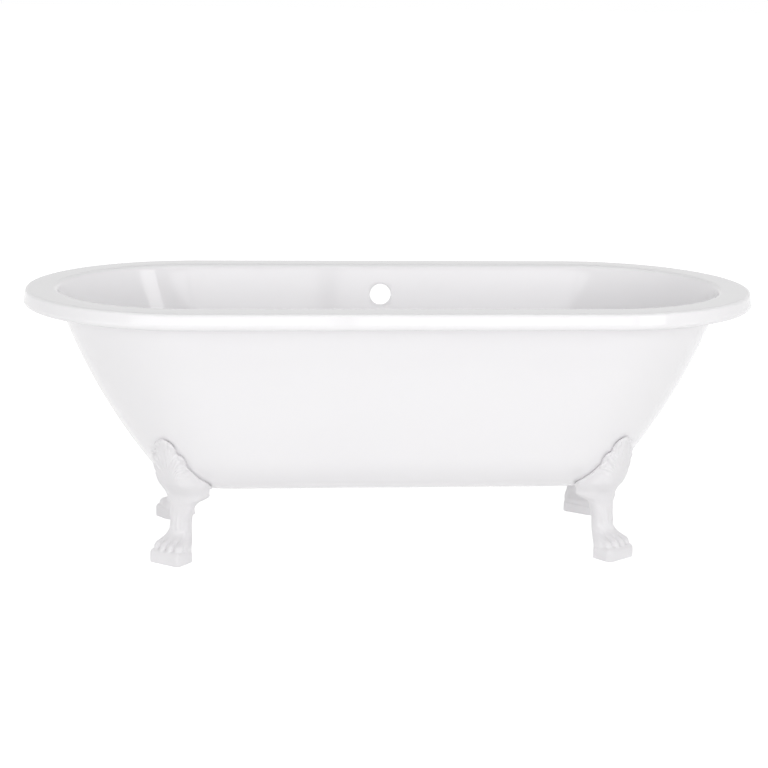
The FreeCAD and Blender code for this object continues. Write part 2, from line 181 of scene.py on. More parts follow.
class WallProfile:
    """Half size of the body at each height: a dish of the given half size and power, a corner arc of the
    given radius and a wall arc between two leans in degrees."""

    def __init__(self, flat, power, corner, lean_low, lean_top, rim_extra):
        self.power = power
        self.corner = corner
        self.rim_extra = rim_extra
        self.dish_end = math.atan2(flat, power * DISH)
        self.lean_low = math.radians(lean_low)
        self.lean_top = math.radians(lean_top)
        self.corner_z = FLOOR_UNDERSIDE + DISH + corner * math.sin(self.dish_end)
        self.corner_x = flat - corner * math.cos(self.dish_end)
        foot_z = self.corner_z - corner * math.sin(self.lean_low)
        foot_x = self.corner_x + corner * math.cos(self.lean_low)
        self.wall = (BODY_TOP - foot_z) / (math.sin(self.lean_low) - math.sin(self.lean_top))
        self.wall_z = foot_z + self.wall * math.sin(self.lean_low)
        self.wall_x = foot_x - self.wall * math.cos(self.lean_low)

    def dish_top(self, inset=0.0):
        return self.corner_z - (self.corner - inset) * math.sin(self.dish_end)

    def corner_top(self, inset=0.0):
        return self.corner_z - (self.corner - inset) * math.sin(self.lean_low)

    def body(self, z, inset):
        corner = self.corner - inset
        flat = self.corner_x + corner * math.cos(self.dish_end)
        rise = np.clip((z - self.dish_top(inset)) / DISH + 1, 0, 1)
        dish = flat * rise ** (1 / self.power)
        bend = self.corner_x + np.sqrt(np.maximum(corner ** 2 - (self.corner_z - z) ** 2, 0))
        wall = self.wall_x + np.sqrt(np.maximum((self.wall - inset) ** 2 - (self.wall_z - z) ** 2, 0))
        low = np.where(z < self.dish_top(inset), dish, bend)
        return np.where(z < self.corner_top(inset), low, wall)

    def half(self, z, inset=0.0):
        """Half size at height z of the surface inset inside the outer one. Above the body the inner
        surface leans on, and the outer one turns upright under the deck."""
        z = np.asarray(z, float)
        start = self.body(np.float64(BODY_TOP), inset)
        height = WALL_TOP - BODY_TOP
        share = np.clip((z - BODY_TOP) / height, 0, 1)
        slope = math.tan(self.lean_top)
        rise = WALL_TOP_OUTER + self.rim_extra - start
        eased = start + rise * share ** 2 * (3 - 2 * share) + slope * height * share * (1 - share) ** 2
        above = start + slope * (z - BODY_TOP) if inset > 0 else eased
        return np.where(z > BODY_TOP, above, self.body(z, inset))

    def lean(self, z):
        return math.asin((self.wall_z - z) / self.wall)


def beyond(x, y, z, inset):
    """Distance of the points (x, y) outside the body's outline at height z."""
    end, side = END.half(z, inset), SIDE.half(z, inset)
    return np.hypot(np.maximum(np.abs(x) - (end - side), 0), y) - side


def floor_height(x, y, inset):
    """Height of the floor's surface over the points (x, y)."""
    low = np.full(len(x), min(END.dish_top(inset), SIDE.dish_top(inset)) - DISH)
    high = np.full(len(x), BODY_TOP)
    for _ in range(40):
        middle = (low + high) / 2
        outside = beyond(x, y, middle, inset) > 0
        low = np.where(outside, middle, low)
        high = np.where(outside, high, middle)
    return (low + high) / 2


class MeshBuilder:
    """Collects points and faces, loop by loop."""

    def __init__(self):
        self.points = []
        self.faces = []

    def loop(self, points):
        start = len(self.points)
        self.points.extend(tuple(map(float, p)) for p in points)
        return list(range(start, start + len(points)))

    def strip(self, first, second, skip=()):
        count = len(first)
        for k in range(count):
            if k not in skip:
                after = (k + 1) % count
                self.faces.append((first[k], second[k], second[after], first[after]))

    def cap(self, loop, flip=False):
        self.faces.append(tuple(reversed(loop)) if flip else tuple(loop))

    def mesh(self, name):
        used = sorted({index for face in self.faces for index in face})
        place = {old: new for new, old in enumerate(used)}
        mesh = bpy.data.meshes.new(name)
        faces = [tuple(place[index] for index in face) for face in self.faces]
        mesh.from_pydata([self.points[index] for index in used], [], faces)
        mesh.update()
        mesh.shade_smooth()
        return mesh


def add_object(name, mesh, material, replaced):
    piece = bpy.data.objects.new(name, mesh)
    bpy.context.scene.collection.objects.link(piece)
    piece.data.materials.clear()
    piece.data.materials.append(material)
    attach(piece, BODY)
    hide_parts(replaced)
    return piece


# ---------------------------------------------------------------- the bath

def ring_columns():
    """For each column of the bath's mesh: place on the straight, turn on the end, turn on a circle."""
    along = np.arange(STRAIGHT_COLUMNS) / STRAIGHT_COLUMNS
    turn = np.arange(ARC_COLUMNS) / ARC_COLUMNS
    quarter = math.pi / 2
    arc_share = math.pi - STRAIGHT_SHARE
    one_end = np.ones(ARC_COLUMNS)
    straight = np.concatenate([2 * along - 1, one_end, 1 - 2 * along, -one_end])
    angle = np.concatenate([
        np.full(STRAIGHT_COLUMNS, -quarter), -quarter + math.pi * turn,
        np.full(STRAIGHT_COLUMNS, quarter), quarter + math.pi * turn,
    ])
    circle = np.concatenate([
        -quarter + STRAIGHT_SHARE * (along - 0.5), arc_share * (turn - 0.5),
        quarter + STRAIGHT_SHARE * (along - 0.5), math.pi + arc_share * (turn - 0.5),
    ])
    return straight, angle, circle


STRAIGHT, ANGLE, CIRCLE = ring_columns()


def stadium_ring(straight, radius, z):
    x = straight * STRAIGHT + radius * np.cos(ANGLE)
    y = radius * np.sin(ANGLE)
    return np.column_stack([x, y, np.full(len(x), z)])


def circle_ring(radius, z):
    return np.column_stack([radius * np.cos(CIRCLE), radius * np.sin(CIRCLE), np.full(len(CIRCLE), z)])


def circle_rings(section):
    return [circle_ring(radius, z) for radius, z in section]


def rim_ring(radius, z):
    return stadium_ring(RIM_STRAIGHT, radius, z)


def body_ring(z, inset):
    """Ring of the body's surface; z is one height or one for each column."""
    end, side = END.half(z, inset), SIDE.half(z, inset)
    return stadium_ring(end - side, side, z)


def floor_rings(inset, first_radius):
    """Rings over the dished floor, from a circle round the waste hole to the dish's edge."""
    rings = []
    low = END.dish_top(inset) - DISH
    target = body_ring(low + DISH * 0.16, inset)
    for share in (0.0, 0.12, 0.28, 0.46, 0.64, 0.82, 1.0):
        ring = circle_ring(first_radius, 0) * (1 - share) + target * share
        ring[:, 2] = floor_height(ring[:, 0], ring[:, 1], inset)
        rings.append(ring)
    for depth in (0.22, 0.3, 0.4, 0.52, 0.64, 0.76, 0.88, 0.96):
        rings.append(body_ring(low + DISH * depth, inset))
    return rings


def patch_levels():
    """Heights of the rows that cross the overflow hole's patch."""
    steps = np.linspace(-1, 1, PATCH_CELLS + 1) * PATCH_HALF_HEIGHT
    return OVERFLOW_HEIGHT + steps * math.cos(OVERFLOW_LEAN)


def wall_rings(inset):
    """Rings from the dish's edge to the overflow patch's top row, and the index of its first row."""
    turns = np.linspace(END.dish_end, END.lean_low, CORNER_ROWS)
    levels = list(END.corner_z - (END.corner - inset) * np.sin(turns))
    patch = patch_levels()
    start = levels[-1]
    levels.extend(start + (patch[0] - start) * k / WALL_ROWS for k in range(1, WALL_ROWS))
    first = len(levels)
    levels.extend(patch)
    return [body_ring(z, inset) for z in levels], first


def inner_rim_rings():
    """Rings over the patch, up the inner wall and round the rim's inner edge, in line with the wall."""
    side, end = (profile.half(BODY_TOP, WALL) - profile.rim_extra for profile in (SIDE, END))
    side_slope, end_slope = math.tan(SIDE.lean_top), math.tan(END.lean_top)
    share = np.abs(np.cos(ANGLE))
    start = side + (end - side) * share
    lean = np.arctan(side_slope + (end_slope - side_slope) * share)
    reach = (DECK_START - start) * np.cos(lean) - (HEIGHT - BODY_TOP) * np.sin(lean)
    rounding = reach / (1 - np.sin(lean))
    top = HEIGHT - rounding * (1 - np.sin(lean))
    first = patch_levels()[-1]
    rings = [body_ring(first + (top - first) * k / 3, WALL) for k in (1, 2, 3)]
    for k in range(1, RIM_EDGE_ROWS + 1):
        turn = math.pi - lean + (lean - math.pi / 2) * k / RIM_EDGE_ROWS
        z = HEIGHT + rounding * (np.sin(turn) - 1)
        rings.append(rim_ring(DECK_START + rounding * np.cos(turn), z))
    return rings


def arc_points(centre, radius, start, end, steps):
    """Points (radius, height) on an arc, after its first one; angles in degrees."""
    points = []
    for k in range(1, steps + 1):
        turn = math.radians(start + (end - start) * k / steps)
        points.append((centre[0] + radius * math.cos(turn), centre[1] + radius * math.sin(turn)))
    return points


def line_points(start, end, steps):
    return [(start[0] + (end[0] - start[0]) * k / steps, start[1] + (end[1] - start[1]) * k / steps)
            for k in range(1, steps + 1)]


def rim_section():
    """Section of the rim from the deck over the skirt to the outer wall."""
    skirt = RIM_RADIUS - SKIRT_TOP_INSET
    deck_end = (skirt - DECK_OUTER_ROUND, HEIGHT)
    widest = (RIM_RADIUS, SKIRT_WIDEST)
    bottom = (RIM_RADIUS - LIP_BOTTOM_INSET, SKIRT_BOTTOM)
    inside = (bottom[0] - WALL / 2, SKIRT_BOTTOM + WALL / 2)
    soft = 0.004  # radius of the corners under the deck
    under = HEIGHT - WALL
    section = line_points((DECK_START, HEIGHT), deck_end, 5)
    section += arc_points((deck_end[0], HEIGHT - DECK_OUTER_ROUND), DECK_OUTER_ROUND, 90, 0, 7)
    section += line_points((skirt, HEIGHT - DECK_OUTER_ROUND), widest, 4)
    for k in range(1, 6):
        share = k / 5
        bulge = LIP_BULGE * 4 * share * (1 - share)
        section.append((widest[0] + (bottom[0] - widest[0]) * share + bulge,
                        widest[1] + (bottom[1] - widest[1]) * share - bulge))
    # The lip's underside, then the gap between skirt and wall up to the deck's underside
    section += [(bottom[0] - 0.0015, bottom[1] + 0.0002), (inside[0], inside[1] - 0.001)]
    section += line_points((inside[0], inside[1] + 0.001), (skirt - WALL, under - soft), 3)
    section += arc_points((skirt - WALL - soft, under - soft), soft, 0, 90, 4)
    section += line_points((skirt - WALL - soft, under), (WALL_TOP_OUTER + soft, under), 4)
    section += arc_points((WALL_TOP_OUTER + soft, under - soft), soft, 90, 180, 4)
    return section


def hole_ring(radius, square_share, square, inset, proud):
    """A ring of the overflow patch: from a circle to the patch's square edge, lifted off the wall."""
    count = len(square)
    turn = np.arange(count) / count * 2 * math.pi - 3 * math.pi / 4
    across = radius * np.cos(turn)
    up = radius * np.sin(turn)
    square_up = (square[:, 2] - OVERFLOW_HEIGHT) / math.cos(OVERFLOW_LEAN)
    across = across * (1 - square_share) + square[:, 0] * square_share
    up = up * (1 - square_share) + square_up * square_share
    z = OVERFLOW_HEIGHT + up * math.cos(OVERFLOW_LEAN)
    points = np.column_stack([across, SIDE.half(z, inset), z])
    return points + np.array(OVERFLOW_OUTWARD) * proud


def patch_edge(rows, first):
    """Indices round the patch: along its bottom, up its side, back along the top and down."""
    middle = STRAIGHT_COLUMNS + ARC_COLUMNS + STRAIGHT_COLUMNS // 2
    half = PATCH_CELLS // 2
    # The back straight runs towards -X, so its columns count down as X grows
    left, right = middle + half, middle - half
    top = first + PATCH_CELLS
    edge = [rows[first][left - k] for k in range(PATCH_CELLS)]
    edge += [rows[first + k][right] for k in range(PATCH_CELLS)]
    edge += [rows[top][right + k] for k in range(PATCH_CELLS)]
    edge += [rows[top - k][left] for k in range(PATCH_CELLS)]
    return edge, range(right, left)


def build_shell():
    """The bath's casting as one closed mesh: inside, rim, outside, underside and both holes."""
    build = MeshBuilder()
    seat, boss = WASTE_SEAT_TOP, WASTE_BOSS_BOTTOM
    round_edge = HOLE_RADIUS + HOLE_EDGE
    edge_top = float(floor_height(np.array([0.0]), np.array([WASTE_SEAT_RADIUS]), WALL)[0])
    boss_top = float(floor_height(np.array([0.0]), np.array([WASTE_BOSS_RADIUS]), 0.0)[0])
    rings = circle_rings([(HOLE_RADIUS, seat - 3 * HOLE_EDGE)])
    rings += circle_rings(arc_points((round_edge, seat - HOLE_EDGE), HOLE_EDGE, 180, 90, 4))
    rings += circle_rings((
        (HOLE_RADIUS + 3 * HOLE_EDGE, seat), (WASTE_SEAT_RADIUS - 0.003, seat),
        (WASTE_SEAT_RADIUS - 0.0012, seat + 0.0002), (WASTE_SEAT_RADIUS - 0.0002, seat + 0.0009),
        (WASTE_SEAT_RADIUS + 0.0002, edge_top - 0.0007), (WASTE_SEAT_RADIUS + 0.001, edge_top - 0.0001)))
    rings += floor_rings(WALL, WASTE_SEAT_RADIUS + 0.002)
    inner_wall, inner_patch = wall_rings(WALL)
    inner_patch += len(rings)
    rings += inner_wall + inner_rim_rings()
    rings += [rim_ring(r, z) for r, z in rim_section()]
    outer_wall, outer_patch = wall_rings(0.0)
    top_row = patch_levels()[-1]
    outer_wall += [body_ring(top_row + (WALL_TOP - top_row) * share, 0.0) for share in (0.33, 0.66, 1.0)]
    # The outer wall's rings run downwards from here
    outer_patch = len(rings) + len(outer_wall) - 1 - outer_patch - PATCH_CELLS
    rings += reversed(outer_wall)
    rings += reversed(floor_rings(0.0, WASTE_BOSS_RADIUS + 0.003))
    boss_edge = WASTE_BOSS_RADIUS - HOLE_EDGE
    rings += circle_rings((
        (WASTE_BOSS_RADIUS + 0.0008, boss_top - 0.0006), (WASTE_BOSS_RADIUS, boss_top - 0.002)))
    rings += circle_rings(arc_points((boss_edge, boss + HOLE_EDGE), HOLE_EDGE, 0, -90, 4))
    rings += circle_rings(arc_points((round_edge, boss + HOLE_EDGE), HOLE_EDGE, -90, -180, 4))
    rows = [build.loop(ring) for ring in rings]

    inner_edge, hidden = patch_edge(rows, inner_patch)
    outer_first = len(rows) - 1 - (outer_patch + PATCH_CELLS)
    outer_edge, _ = patch_edge(list(reversed(rows)), outer_first)
    skipped_rows = {first + k for first in (inner_patch, outer_patch) for k in range(PATCH_CELLS)}
    for k, row in enumerate(rows):
        following = rows[(k + 1) % len(rows)]
        build.strip(row, following, set(hidden) if k in skipped_rows else ())
    add_overflow(build, inner_edge, outer_edge)
    return build


def add_overflow(build, inner_edge, outer_edge):
    """Joins the patches of the inner and outer wall through the overflow hole."""
    inner_square = np.array([build.points[index] for index in inner_edge])
    outer_square = np.array([build.points[index] for index in outer_edge])
    loops = [inner_edge]
    round_edge = HOLE_RADIUS + HOLE_EDGE
    for share in (0.66, 0.33, 0.0):
        loops.append(build.loop(hole_ring(round_edge, share, inner_square, WALL, 0.0)))
    proud = OVERFLOW_BOSS_PROUD
    for turns, square, inset, face, way in (((30, 60, 90), inner_square, WALL, 0.0, 1),
                                            ((90, 60, 30, 0), outer_square, 0.0, proud, -1)):
        for turn in turns:
            angle = math.radians(turn)
            radius = round_edge - HOLE_EDGE * math.sin(angle)
            drop = HOLE_EDGE * (1 - math.cos(angle))
            loops.append(build.loop(hole_ring(radius, 0.0, square, inset, face + way * drop)))
    boss = OVERFLOW_BOSS_RADIUS
    for radius, share, lift in ((boss - 0.0015, 0.0, proud), (boss - 0.0005, 0.0, proud - 0.0005),
                                (boss, 0.0, proud - 0.0015), (boss + 0.0004, 0.0, 0.0006),
                                (boss + 0.0016, 0.0, 0.0), (boss + 0.0016, 0.5, 0.0)):
        loops.append(build.loop(hole_ring(radius, share, outer_square, 0.0, lift)))
    loops.append(outer_edge)
    for first, second in zip(loops, loops[1:]):
        build.strip(second, first)


def foot_line(end, side):
    """Matrix that takes (out along the foot's line, sideways, up) to the bath's frame."""
    angle = FOOT_ANGLE * side if end > 0 else math.pi - FOOT_ANGLE * side
    return Matrix.Translation((end * FOOT_CENTRE, 0, 0)) @ Matrix.Rotation(angle, 4, "Z")


def add_lugs(build):
    """Cast lugs under the floor that take the feet's studs, with a rounded lower edge."""
    sides = 40
    turns = np.arange(sides) / sides * 2 * math.pi
    section = (
        (LUG_BORE_RADIUS, LUG_BOTTOM + 0.011), (LUG_BORE_RADIUS, LUG_BOTTOM + 0.001),
        (LUG_BORE_RADIUS + 0.0011, LUG_BOTTOM), (LUG_RADIUS - 0.0015, LUG_BOTTOM),
        (LUG_RADIUS - 0.0004, LUG_BOTTOM + 0.0004), (LUG_RADIUS, LUG_BOTTOM + 0.0015),
        (LUG_RADIUS, LUG_BOTTOM + 0.004), (LUG_RADIUS, LUG_TOP), (LUG_BORE_RADIUS, LUG_TOP),
    )
    for _, end, side in CORNERS:
        place = foot_line(end, side)
        loops = []
        for radius, z in section:
            loops.append(build.loop([
                place @ Vector((STUD_PLACE + radius * math.cos(turn), radius * math.sin(turn), z))
                for turn in turns]))
        for first, second in zip(loops, loops[1:] + loops[:1]):
            build.strip(second, first)


# ---------------------------------------------------------------- the feet

def curve_through(knots, values, at):
    """Smooth curve through (knot, value) pairs, read at the given places."""
    knots, values, at = np.array(knots), np.array(values), np.asarray(at, float)
    slopes = np.gradient(values, knots)
    k = np.clip(np.searchsorted(knots, at) - 1, 0, len(knots) - 2)
    width = knots[k + 1] - knots[k]
    t = np.clip((at - knots[k]) / width, 0, 1)
    start = (1 + 2 * t) * (1 - t) ** 2 * values[k] + t * (1 - t) ** 2 * width * slopes[k]
    return start + t ** 2 * (3 - 2 * t) * values[k + 1] + t ** 2 * (t - 1) * width * slopes[k + 1]


def wall_distance(across, z, inset):
    """Distance along the foot's line to the body's surface, for points to its side at height z."""
    angle = -FOOT_ANGLE
    low = np.full(len(across), SADDLE_BACK)
    high = np.full(len(across), SADDLE_FRONT)
    for _ in range(36):
        middle = (low + high) / 2
        x = FOOT_CENTRE + middle * math.cos(angle) - across * math.sin(angle)
        y = middle * math.sin(angle) + across * math.cos(angle)
        outside = beyond(x, y, z, inset) > 0
        high = np.where(outside, middle, high)
        low = np.where(outside, low, middle)
    return (low + high) / 2


def arc_through(first, middle, last, steps):
    """Points after the first one, on the circle through three points."""
    (ax, ay), (bx, by), (cx, cy) = first, middle, last
    double = 2 * (ax * (by - cy) + bx * (cy - ay) + cx * (ay - by))
    a2, b2, c2 = ax * ax + ay * ay, bx * bx + by * by, cx * cx + cy * cy
    x = (a2 * (by - cy) + b2 * (cy - ay) + c2 * (ay - by)) / double
    y = (a2 * (cx - bx) + b2 * (ax - cx) + c2 * (bx - ax)) / double
    start, end = math.atan2(ay - y, ax - x), math.atan2(cy - y, cx - x)
    turn = (end - start + math.pi) % (2 * math.pi) - math.pi
    radius = math.hypot(ax - x, ay - y)
    angles = [start + turn * k / steps for k in range(1, steps + 1)]
    return [(x + radius * math.cos(angle), y + radius * math.sin(angle)) for angle in angles]


def shield_outline():
    """The saddle's scalloped outline as (sideways, height): from the crest down one side and back up."""
    sides = []
    for corners in (SHIELD_INNER, SHIELD_OUTER):
        points = [corners[0]]
        for k in range(0, len(corners) - 1, 2):
            points += arc_through(*corners[k:k + 3], 14)
        sides.append(points)
    inner, outer = sides
    return np.array(inner + outer[-2:0:-1])


def add_saddle(build):
    """Plate that hugs the bath, with rounded scalloped edges and a recess behind its edge."""
    outline = shield_outline()
    centre = np.array(SHIELD_CENTRE)
    loops = []
    for share, offset in SADDLE_SECTION:
        flat = centre + (outline - centre) * share
        along = wall_distance(flat[:, 0], flat[:, 1], -offset)
        loops.append(build.loop(np.column_stack([along, flat])))
    build.cap(loops[0], flip=True)
    for first, second in zip(loops, loops[1:]):
        build.strip(first, second)
    build.cap(loops[-1])


def add_loft(build, sections):
    """Closed body through loops of the same size, given from bottom to top."""
    loops = [build.loop(section) for section in sections]
    build.cap(loops[0], flip=True)
    for first, second in zip(loops, loops[1:]):
        build.strip(second, first)
    build.cap(loops[-1])


def body_section(z, centre, front, back, inner, outer, power, count=72):
    """Rounded section with its own depth in front and behind, and its own width on either side."""
    turn = np.arange(count) / count * 2 * math.pi
    cos, sin = np.cos(turn), np.sin(turn)
    x = centre + np.where(cos > 0, front, back) * np.sign(cos) * np.abs(cos) ** (2 / power)
    y = np.where(sin > 0, outer, inner) * np.sign(sin) * np.abs(sin) ** (2 / power)
    if z > LUG_BOTTOM:
        x = np.maximum(x, wall_distance(y, np.full(count, z), -LEG_GAP))
    return np.column_stack([x, y, np.full(count, z)])


def block_section(inset, z, steps=6):
    """Rectangle with rounded corners."""
    half = BLOCK_HALF_WIDTH
    corners = ((BLOCK_FRONT, half), (BLOCK_BACK, half), (BLOCK_BACK, -half), (BLOCK_FRONT, -half))
    middle = (BLOCK_BACK + BLOCK_FRONT) / 2
    radius = BLOCK_SIDE_ROUND
    points = []
    for quarter, (along, across) in enumerate(corners):
        x = along - math.copysign(radius, along - middle)
        y = across - math.copysign(radius, across)
        for k in range(steps + 1):
            turn = math.pi / 2 * (quarter + k / steps)
            reach = radius - inset
            points.append((x + reach * math.cos(turn), y + reach * math.sin(turn), z))
    return points


def add_limb(build, path, radii, sides=20, steps=28):
    """Rounded limb that follows a smooth path through points with its own radius at each."""
    path, radii = np.array(path, float), np.array(radii, float)
    knots = np.arange(len(path))
    ends = 6
    share = np.linspace(0, 1, steps)
    at = share * (len(path) - 1)
    centre = np.column_stack([curve_through(knots, path[:, k], at) for k in range(3)])
    radius = curve_through(knots, radii, at)
    tangent = np.gradient(centre, axis=0)
    tangent /= np.linalg.norm(tangent, axis=1)[:, None]
    caps = [math.pi / 2 * (k + 0.5) / ends for k in range(ends)]
    first = [(centre[0] - tangent[0] * radius[0] * math.cos(cap), tangent[0], radius[0] * math.sin(cap))
             for cap in caps]
    last = [(centre[-1] + tangent[-1] * radius[-1] * math.cos(cap), tangent[-1],
             radius[-1] * math.sin(cap)) for cap in reversed(caps)]
    turn = np.arange(sides) / sides * 2 * math.pi
    sections = []
    for middle, direction, size in first + list(zip(centre, tangent, radius)) + last:
        side = np.cross(direction, (0, 1, 0))
        side /= np.linalg.norm(side)
        across = np.cross(direction, side)
        sections.append(middle + size * (np.outer(np.cos(turn), side) + np.outer(np.sin(turn), across)))
    add_loft(build, sections)


def add_block(build):
    """Block with rounded upright edges and a well rounded top edge."""
    sections = []
    for z in (0, 0.001, 0.003, 0.008, 0.015):
        sections.append((max(0.0012 - z, 0), z))
    for k in range(9):
        turn = math.pi / 2 * k / 8
        sections.append((BLOCK_TOP_ROUND * (1 - math.cos(turn)),
                         BLOCK_HEIGHT - BLOCK_TOP_ROUND * (1 - math.sin(turn))))
    add_loft(build, [block_section(inset, z) for inset, z in sections])


def leg_at(levels):
    """Values of the leg's sections at the given heights, one array for each."""
    heights, *columns = zip(*LEG_SECTIONS)
    return [curve_through(heights, values, levels) for values in columns]


def add_leg(build):
    """Paw, ankle, leg, shoulder and head in one smooth body."""
    levels = np.concatenate([np.linspace(low, high, 7)[:-1] for (low, *_), (high, *_) in
                             zip(LEG_SECTIONS, LEG_SECTIONS[1:])] + [[LEG_SECTIONS[-1][0]]])
    add_loft(build, [body_section(*row) for row in zip(levels, *leg_at(levels))])


def add_toes(build):
    """Four toes, each from the ankle over its knuckle to a rounded tip."""
    for place, forward in zip(TOE_PLACES, TOE_FORWARD):
        path = [(along + forward * share, place * spread, z) for along, spread, z, _, share in TOE_PATH]
        add_limb(build, path, [point[3] for point in TOE_PATH])


def add_tendons(build):
    """Ridges from the toes up the front of the leg, fading towards its head."""
    levels = np.linspace(TENDON_BOTTOM, TENDON_TOP, 7)
    centre, front, _, width, _, power = leg_at(levels)
    fade = np.linspace(0, 1, len(levels)) ** 2
    for share in TENDON_PLACES:
        reach = front * (1 - abs(share) ** power) ** (1 / power)
        along = centre + reach - TENDON_SUNK - fade * TENDON_FADE
        path = np.column_stack([along, share * width, levels])
        add_limb(build, path, np.full(len(levels), TENDON_RADIUS))


def add_tongue(build):
    """Plate under the cast lug with a round end and a hole for the stud."""
    count, nearly_zero = 64, 0.01
    turn = np.arange(count) / count * 2 * math.pi
    cos, sin = np.cos(turn), np.sin(turn)
    forward = np.minimum((TONGUE_ROOT - STUD_PLACE) / np.maximum(cos, nearly_zero),
                         TONGUE_HALF_WIDTH / np.maximum(np.abs(sin), nearly_zero))
    reach = np.where(cos < 0, TONGUE_HALF_WIDTH, forward)
    top, bottom = LUG_BOTTOM, LUG_BOTTOM - TONGUE_THICKNESS
    hole = TONGUE_HOLE_RADIUS
    loops = []
    for radius, z in ((reach, top), (reach, bottom), (hole, bottom), (hole, top)):
        ring = np.column_stack([STUD_PLACE + radius * cos, radius * sin, np.full(count, z)])
        loops.append(build.loop(ring))
    for first, second in zip(loops, loops[1:] + loops[:1]):
        build.strip(first, second)


def leaf_relief(across, z):
    """Height of the leaf carved on the foot's head, over points to the side of its middle."""
    relief = np.zeros(len(z))
    aside = np.where(across > 0, across * LEAF_OUTER_SHARE, -across)
    share = np.linspace(0, 1, 40)
    for root, bend, tip, width in LEAFLETS:
        root, bend, tip = map(np.array, (root, bend, tip))
        line = np.outer((1 - share) ** 2, root) + np.outer(2 * share * (1 - share), bend)
        line = line + np.outer(share ** 2, tip)
        gap = np.hypot(aside[:, None] - line[None, :, 0], z[:, None] - line[None, :, 1])
        nearest = gap.argmin(axis=1)
        away = gap[np.arange(len(z)), nearest]
        s = share[nearest]
        half = width * (0.5 + 0.5 * np.sin(math.pi * np.minimum(s, 0.75) / 1.5))
        dome = np.sqrt(np.maximum(1 - (away / half) ** 2, 0))
        vein = VEIN_DEPTH * np.exp(-(away / VEIN_WIDTH) ** 2) * np.sin(math.pi * np.clip(s, 0, 1)) ** 0.5
        relief = np.maximum(relief, (LEAF_HEIGHT - vein) * dome)
    fade = np.clip((z - LEAF_FADE_BOTTOM) / (LEAF_FADE_TOP - LEAF_FADE_BOTTOM), 0, 1)
    return relief * fade * fade * (3 - 2 * fade)


def carve_leaf(mesh):
    """Raises the leaf on the faces of the foot's head that look outwards and stand off the bath."""
    count = len(mesh.vertices)
    points, normals = np.empty(count * 3), np.empty(count * 3)
    mesh.vertices.foreach_get("co", points)
    mesh.vertices.foreach_get("normal", normals)
    points, normals = points.reshape(-1, 3), normals.reshape(-1, 3)
    high = points[:, 2] > LEAF_FADE_BOTTOM
    across, z = points[high, 1], points[high, 2]
    proud = points[high, 0] - wall_distance(across, z, 0.0)
    facing = np.clip((normals[high, 0] - 0.05) / 0.3, 0, 1) * (proud > SADDLE_THICKNESS / 3)
    points[high] += normals[high] * (leaf_relief(across, z) * facing)[:, None]
    mesh.vertices.foreach_set("co", points.ravel())
    mesh.update()


def apply_modifiers(piece):
    evaluated = piece.evaluated_get(bpy.context.evaluated_depsgraph_get())
    mesh = bpy.data.meshes.new_from_object(evaluated)
    piece.modifiers.clear()
    old = piece.data
    piece.data = mesh
    bpy.data.meshes.remove(old)
    return mesh


def sculpt_foot():
    """Mesh of the front right foot in its own frame: out along its line, sideways, up."""
    build = MeshBuilder()
    add_block(build)
    add_leg(build)
    add_toes(build)
    add_tendons(build)
    add_saddle(build)
    add_tongue(build)
    piece = bpy.data.objects.new("foot_sculpt", build.mesh("foot_sculpt"))
    bpy.context.scene.collection.objects.link(piece)
    remesh = piece.modifiers.new("remesh", "REMESH")
    remesh.mode = "VOXEL"
    remesh.voxel_size = FOOT_VOXEL
    apply_modifiers(piece)
    smooth = piece.modifiers.new("smooth", "SMOOTH")
    smooth.factor = 0.5
    smooth.iterations = FOOT_SMOOTHING
    mesh = apply_modifiers(piece)
    carve_leaf(mesh)
    smooth = piece.modifiers.new("smooth", "SMOOTH")
    smooth.factor = 0.4
    smooth.iterations = LEAF_SMOOTHING
    reduce = piece.modifiers.new("reduce", "DECIMATE")
    reduce.ratio = FOOT_KEEP
    mesh = apply_modifiers(piece)
    points = np.empty(len(mesh.vertices) * 3)
    mesh.vertices.foreach_get("co", points)
    points = points.reshape(-1, 3)
    points[:, 2] = np.where(points[:, 2] < FOOT_SOLE, 0, points[:, 2])
    mesh.vertices.foreach_set("co", points.ravel())
    bpy.data.objects.remove(piece)
    return mesh


def add_foot(mesh, corner, end, side, material):
    """Mirrored copy of the front right foot at one corner."""
    placed = mesh.copy()
    placed.transform(foot_line(1, -1))
    placed.transform(Matrix.Diagonal((end, -side, 1, 1)))
    if end * -side < 0:
        placed.flip_normals()
    placed.shade_smooth()
    add_object("paw_foot_" + corner, placed, material, "foot_" + corner)


# ---------------------------------------------------------------- stage

def make_material(name):
    material = bpy.data.materials.new(name)
    material.use_nodes = True
    nodes, links = material.node_tree.nodes, material.node_tree.links
    nodes.clear()
    output = nodes.new("ShaderNodeOutputMaterial")
    shader = nodes.new("ShaderNodeBsdfPrincipled")
    links.new(shader.outputs["BSDF"], output.inputs["Surface"])
    return material, nodes, links, shader


def noise(nodes, links, scale, detail=2.0):
    place = nodes.new("ShaderNodeTexCoord")
    texture = nodes.new("ShaderNodeTexNoise")
    texture.inputs["Scale"].default_value = scale
    texture.inputs["Detail"].default_value = detail
    links.new(place.outputs["Object"], texture.inputs["Vector"])
    return texture.outputs["Fac"]


def between(nodes, links, value, low, high):
    """Maps a texture value to the range from low to high."""
    mapped = nodes.new("ShaderNodeMapRange")
    mapped.inputs["From Min"].default_value = 0.3
    mapped.inputs["From Max"].default_value = 0.7
    mapped.inputs["To Min"].default_value = low
    mapped.inputs["To Max"].default_value = high
    links.new(value, mapped.inputs["Value"])
    return mapped.outputs["Result"]


def mix_colours(nodes, links, factor, first, second):
    mixed = nodes.new("ShaderNodeMix")
    mixed.data_type = "RGBA"
    mixed.inputs["A"].default_value = (*first, 1)
    mixed.inputs["B"].default_value = (*second, 1)
    links.new(factor, mixed.inputs["Factor"])
    return mixed.outputs["Result"]


